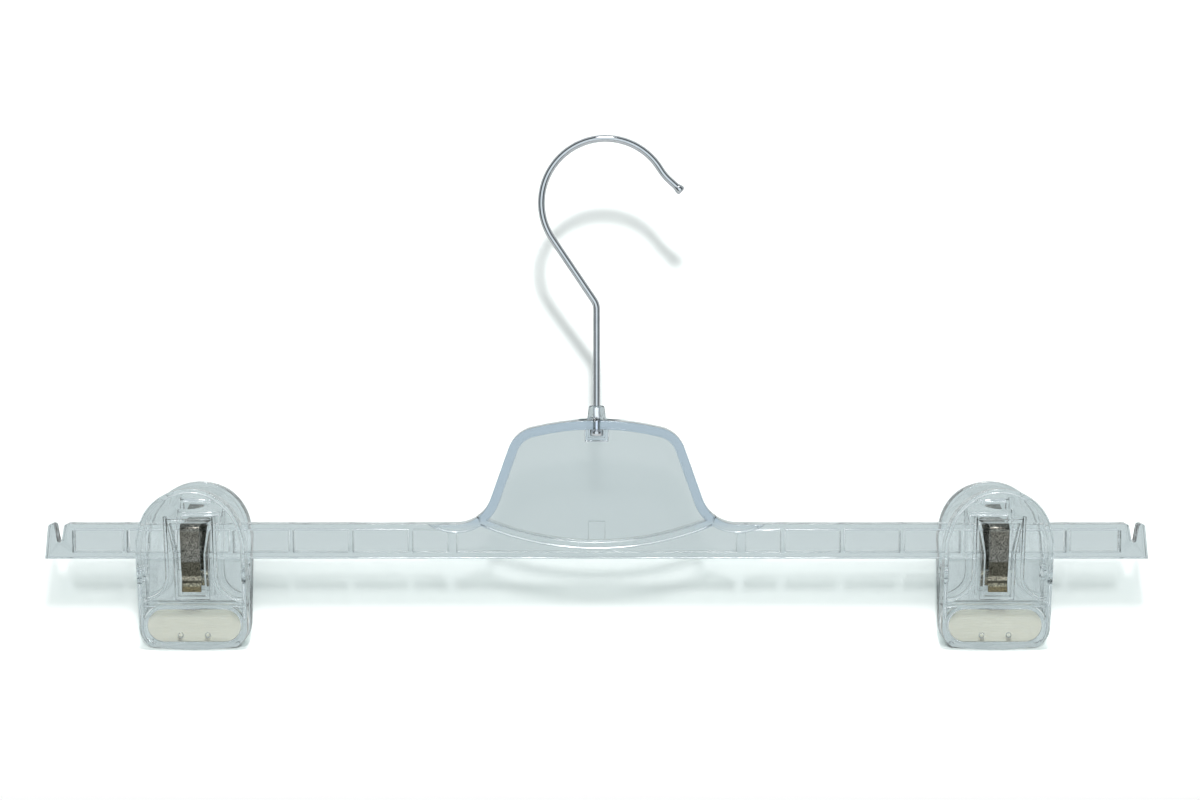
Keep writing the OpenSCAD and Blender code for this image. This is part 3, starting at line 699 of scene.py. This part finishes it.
def pad_skin(count=48, rings=40):
    """Rings of share k of the outline: x = middle line + k * outward, z = k *
    outward, and the depth is the face less the grooves, or the back less its
    faint hollows, rounded by the edge radius where k nears 1."""
    spine, out_x, out_z = stadium(count)
    inner = 1 - PAD_EDGE / (PAD_H / 2)
    quarter = np.radians(np.linspace(0, 90, 6))[1:]
    k_face = np.r_[np.linspace(0, inner, rings), inner + (1 - inner) * np.sin(quarter)]
    sink = np.r_[np.zeros(rings), PAD_EDGE * (1 - np.cos(quarter))]
    k = np.r_[k_face, k_face[::-1]]
    x = spine[None, :] + k[:, None] * out_x[None, :]
    z = k[:, None] * out_z[None, :] + 0 * x
    z_face, z_back = z[:len(k_face)], z[len(k_face):]
    wave = 0.5 + 0.5 * np.cos(2 * np.pi * z_face / GROOVE_PITCH)
    groove = GROOVE_DEPTH * np.clip(1.6 * wave - 0.6, 0, 1)
    face = PAD_FACE + sink[:, None] + groove * (k_face < 0.97)[:, None]
    hollow = HOLLOW_DEPTH * (0.5 + 0.5 * np.cos(2 * np.pi * z_back / HOLLOW_PITCH))
    behind = PAD_FACE + PAD_T - sink[::-1, None] - hollow * (k_face[::-1] < 0.95)[:, None]
    return np.stack([x, -np.concatenate([face, behind]), z + PAD_Z], -1)


def peg_skin(side):
    """A peg on the pad's back: a ring of radius r carried back from the pad,
    with its end rounded by the last two rings."""
    t = np.linspace(0, 2 * np.pi, 24, endpoint=False)
    back = PAD_FACE + PAD_T
    depth = np.array([back - 0.0004, back + 0.8 * PEG_L, back + 0.95 * PEG_L,
                      back + PEG_L])
    r = PEG_R * np.array([1.0, 1.0, 0.9, 0.6])
    x = side * PEG_X + r[:, None] * np.cos(t)
    z = PAD_Z - PEG_DROP + r[:, None] * np.sin(t)
    return np.stack([x, -depth[:, None] + 0 * x, z], -1)


# %% [markdown]
# A pad and its two pegs are one piece, which rides on its jaw. The back pads
# are the front ones turned half round.


# %% Pads on their jaws
def pad_piece(name, side, back, body):
    """One pad with its two pegs, as one object on its jaw."""
    skins = [pad_skin(), peg_skin(-1), peg_skin(1)]
    made = [make_piece(f"{name}_{k}", place_in_clip(s, side, back), close_ends=k > 0)
            for k, s in enumerate(skins)]
    mesh = bpy.data.meshes.new(name)
    whole = bmesh.new()
    for piece in made:
        whole.from_mesh(piece.data)
        bpy.data.objects.remove(piece)
    whole.to_mesh(mesh)
    whole.free()
    mesh.polygons.foreach_set("use_smooth", np.ones(len(mesh.polygons), bool))
    pad = bpy.data.objects.new(name, mesh)
    scene.collection.objects.link(pad)
    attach(pad, body)
    return pad


pads = []
for side in CLIP_X:
    for face in ("front", "back"):
        pad = pad_piece(f"{side}_{face}_grip_pad", side, face == "back", f"{side}_{face}")
        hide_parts(f"{side}_{face}_pad")
        pads.append(pad)

# %% [markdown]
# ## Ivory silicone
# Silicone is soft-looking because light goes a little way into it. A small
# subsurface share with a warm base does that, with a matt surface and a faint
# cloudiness from the mould.

# %% Ivory silicone
silicone, tree, shader, skin, _ = new_material("ivory silicone", mould_skin, 700.0)
finish(tree, shader,
       two_tones(tree, skin["Cloud"], (0.665, 0.625, 0.535), (0.73, 0.69, 0.60)),
       spread(tree, skin["Height"], 0.42, 0.6), skin["Height"], 0.2, 0.00008,
       IOR=1.41, Subsurface_Weight=0.25, Subsurface_Radius=(0.9, 0.8, 0.6),
       Subsurface_Scale=0.001)
for pad in pads:
    pad.data.materials.append(silicone)
print("ivory silicone", len(tree.nodes), "nodes")

# %% [markdown]
# ## Paper, lamp and surroundings
# The hanger stands on the lower edges of its clips and leans on a photographer's
# table: a white sweep of paper, whose wall turns into the floor right under the
# clips. It keeps the soft shadows of the picture at their places.

# %% Sweep of paper
WALL_LEAN, WALL_Y, WALL_Y_AT_Z = math.radians(4.7), 0.0156, -0.111
FLOOR_Z, COVE_R = cad_low[2] - 0.0003, 0.011
PAPER_HALF, WALL_H, FLOOR_RUN = 1.6, 1.6, 0.2
cove_top = FLOOR_Z + COVE_R
wall_foot = np.array([WALL_Y + (cove_top - WALL_Y_AT_Z) * math.tan(WALL_LEAN), cove_top])
cove = arc(wall_foot + COVE_R * np.array([-1.0, 0.0]), COVE_R, 0.0, -90.0, 24)
profile = join_path(wall_foot[None, :] + WALL_H * np.array([[math.tan(WALL_LEAN), 1.0]]),
                    cove, cove[-1:] - np.array([[FLOOR_RUN, 0.0]]))
paper_grid = np.stack([
    np.stack([np.full(len(profile), x), profile[:, 0], profile[:, 1]], -1)
    for x in (PAPER_HALF, -PAPER_HALF)], 1)
paper_mesh = bpy.data.meshes.new("paper_sweep")
paper_mesh.from_pydata(paper_grid.reshape(-1, 3).tolist(), [], [
    (2 * i, 2 * i + 1, 2 * i + 3, 2 * i + 2) for i in range(len(profile) - 1)])
paper_mesh.polygons.foreach_set("use_smooth", np.ones(len(paper_mesh.polygons), bool))
table = bpy.data.objects.new("paper_sweep", paper_mesh)
scene.collection.objects.link(table)
print("paper normals", tuple(round(n, 2) for n in paper_mesh.polygons[0].normal),
      tuple(round(n, 2) for n in paper_mesh.polygons[-1].normal))

# %% [markdown]
# What the paper shows depends on the ray that finds it. The camera sees white
# paper that takes shadows. Clear plastic shows it a little greyer, as in the
# picture, and for reflections and stray light it has half its brightness. Its
# back lets rays through, so that the hanger can be looked at from behind.

# %% Paper white
CLEAR_GREY = (0.478, 0.546, 0.556)  # the lit paper as clear plastic shows it
LIT_PAINT = 0.095  # what the paint has of that grey, and the glow leaves out
paper_white = bpy.data.materials.new("paper white")
paper_white.use_nodes = True
tree = paper_white.node_tree
tree.nodes.clear()
path = node(tree, "ShaderNodeLightPath").outputs


def by_ray(camera_colour, clear_colour, other_colour):
    """One colour for what the camera sees, one for what clear plastic sees, and
    one for reflections and stray light."""
    unseen = two_tones(tree, path["Is Transmission Ray"], other_colour, clear_colour)
    return two_tones(tree, path["Is Camera Ray"], unseen, camera_colour)


paint = node(tree, "ShaderNodeBsdfDiffuse", Color=by_ray(
    (1.0, 1.0, 1.0), (0.10, 0.10, 0.10), (0.5, 0.5, 0.5)))
glow = node(tree, "ShaderNodeEmission", Color=by_ray(
    (0.01, 0.01, 0.01), tuple(c - LIT_PAINT for c in CLEAR_GREY), (0.0, 0.0, 0.0)))
both = node(tree, "ShaderNodeAddShader")
feed(tree, both.inputs[0], paint.outputs[0])
feed(tree, both.inputs[1], glow.outputs[0])
choose = node(tree, "ShaderNodeMixShader",
              Fac=node(tree, "ShaderNodeNewGeometry").outputs["Backfacing"])
feed(tree, choose.inputs[1], both.outputs[0])
feed(tree, choose.inputs[2], node(tree, "ShaderNodeBsdfTransparent").outputs[0])
node(tree, "ShaderNodeOutputMaterial", Surface=choose.outputs[0])
paper_mesh.materials.append(paper_white)
print("paper white", len(tree.nodes), "nodes")

# %% [markdown]
# ## Lamp
# One small soft box stands well above the camera, so that the shadows fall on
# the paper at the places and with the softness that the picture has. Gloss and
# glass don't see the box itself: its picture in them comes further down.

# %% Lamp
LAMP_RISE, LAMP_AWAY = math.radians(46.5), 1.2
LAMP_AIM = np.array([0.03, 0.0, -0.1])
lamp_data = bpy.data.lights.new("soft box", "AREA")
lamp_data.shape = "RECTANGLE"
lamp_data.size, lamp_data.size_y = 0.17, 0.14
lamp_data.energy = 17.8
lamp_data.color = (0.955, 1.0, 0.99)
lamp = bpy.data.objects.new("soft box", lamp_data)
picture_up = np.array([0.0, math.sin(CAMERA_RISE), math.cos(CAMERA_RISE)])
to_lamp = math.cos(LAMP_RISE) * to_camera + math.sin(LAMP_RISE) * picture_up
lamp.location = LAMP_AIM + LAMP_AWAY * to_lamp
lamp.visible_transmission = lamp.visible_glossy = False
lamp.rotation_euler = (math.pi / 2 - LAMP_RISE - CAMERA_RISE, 0.0, 0.0)
scene.collection.objects.link(lamp)
print("lamp at", tuple(round(c, 2) for c in lamp.location))

# %% [markdown]
# ## Surroundings
# Chrome and clear plastic show what is around them, so the world has a light
# side behind the camera, a dark ring about it, which draws the dark lines along
# the wire, and a middle grey elsewhere. Matt surfaces get an even fill instead.
# What is seen through plastic is mixed towards two softer colours, because
# every wall that light crosses would otherwise deepen the dark ring.

# %% World
# Places go from straight behind the hanger, 0, to straight behind the camera, 1.
SURROUND = [(0.0, 0.45), (0.66, 0.42), (0.74, 0.09), (0.915, 0.07), (0.945, 1.0),
            (1.0, 1.0)]
THROUGH = [(0.62, (0.30, 0.37, 0.46)), (0.88, (1.75, 1.84, 1.85))]
THROUGH_SHARE = 0.80
world = bpy.data.worlds.new("studio")
world.use_nodes = True
scene.world = world
tree = world.node_tree
tree.nodes.clear()
path = node(tree, "ShaderNodeLightPath").outputs
where = node(tree, "ShaderNodeTexCoord").outputs["Generated"]
parted = node(tree, "ShaderNodeSeparateXYZ", Vector=where)
forward = reach(tree, parted.outputs["Y"], 1.0, -1.0)
around = colour_ramp(tree, forward, [
    (place, (0.9 * level, level, 1.03 * level)) for place, level in SURROUND])
sharp = calculate(tree, "MAXIMUM", path["Is Glossy Ray"], path["Is Transmission Ray"])
filled = two_tones(tree, sharp, (0.17, 0.20, 0.195), around)
much = calculate(tree, "MULTIPLY", path["Is Transmission Ray"], THROUGH_SHARE)
softer = two_tones(tree, much, filled, colour_ramp(tree, forward, THROUGH))

# %% [markdown]
# The lamp itself is hidden from gloss and glass. A ray that has bent through
# plastic still counts as a glossy one where it lands on a lamp, and would make
# the pads behind it glare. Its picture is a small bright spot in the world
# instead, which is left out once a ray has left a matt surface.

# %% Picture of the lamp in gloss and glass
SPOT_EDGE, SPOT_FULL, SPOT_LIGHT = math.radians(6.5), math.radians(5.5), 14.0
toward = node(tree, "ShaderNodeVectorMath", operation="DOT_PRODUCT")
feed(tree, toward.inputs[0], where)
feed(tree, toward.inputs[1], tuple(to_lamp))
spot = reach(tree, toward.outputs["Value"], math.cos(SPOT_EDGE), math.cos(SPOT_FULL))
fresh = calculate(tree, "LESS_THAN", path["Diffuse Depth"], 0.5)
glint = calculate(tree, "MULTIPLY", spot, fresh)
lit = two_tones(tree, glint, softer, (SPOT_LIGHT, SPOT_LIGHT, SPOT_LIGHT))
sky = two_tones(tree, path["Is Camera Ray"], lit, (1.0, 1.0, 1.0))
shine = node(tree, "ShaderNodeBackground", Color=sky)
node(tree, "ShaderNodeOutputWorld", Surface=shine.outputs[0])
print("world", len(tree.nodes), "nodes")

# %% [markdown]
# Light crosses many thin walls of plastic here, so a path may turn more often
# than Blender's usual limit before it is given up as black.

# %% Light paths
scene.cycles.max_bounces = 32
scene.cycles.transmission_bounces = 32
scene.cycles.glossy_bounces = 8
scene.cycles.transparent_max_bounces = 16

# %% Finish
bpy.context.view_layer.update()
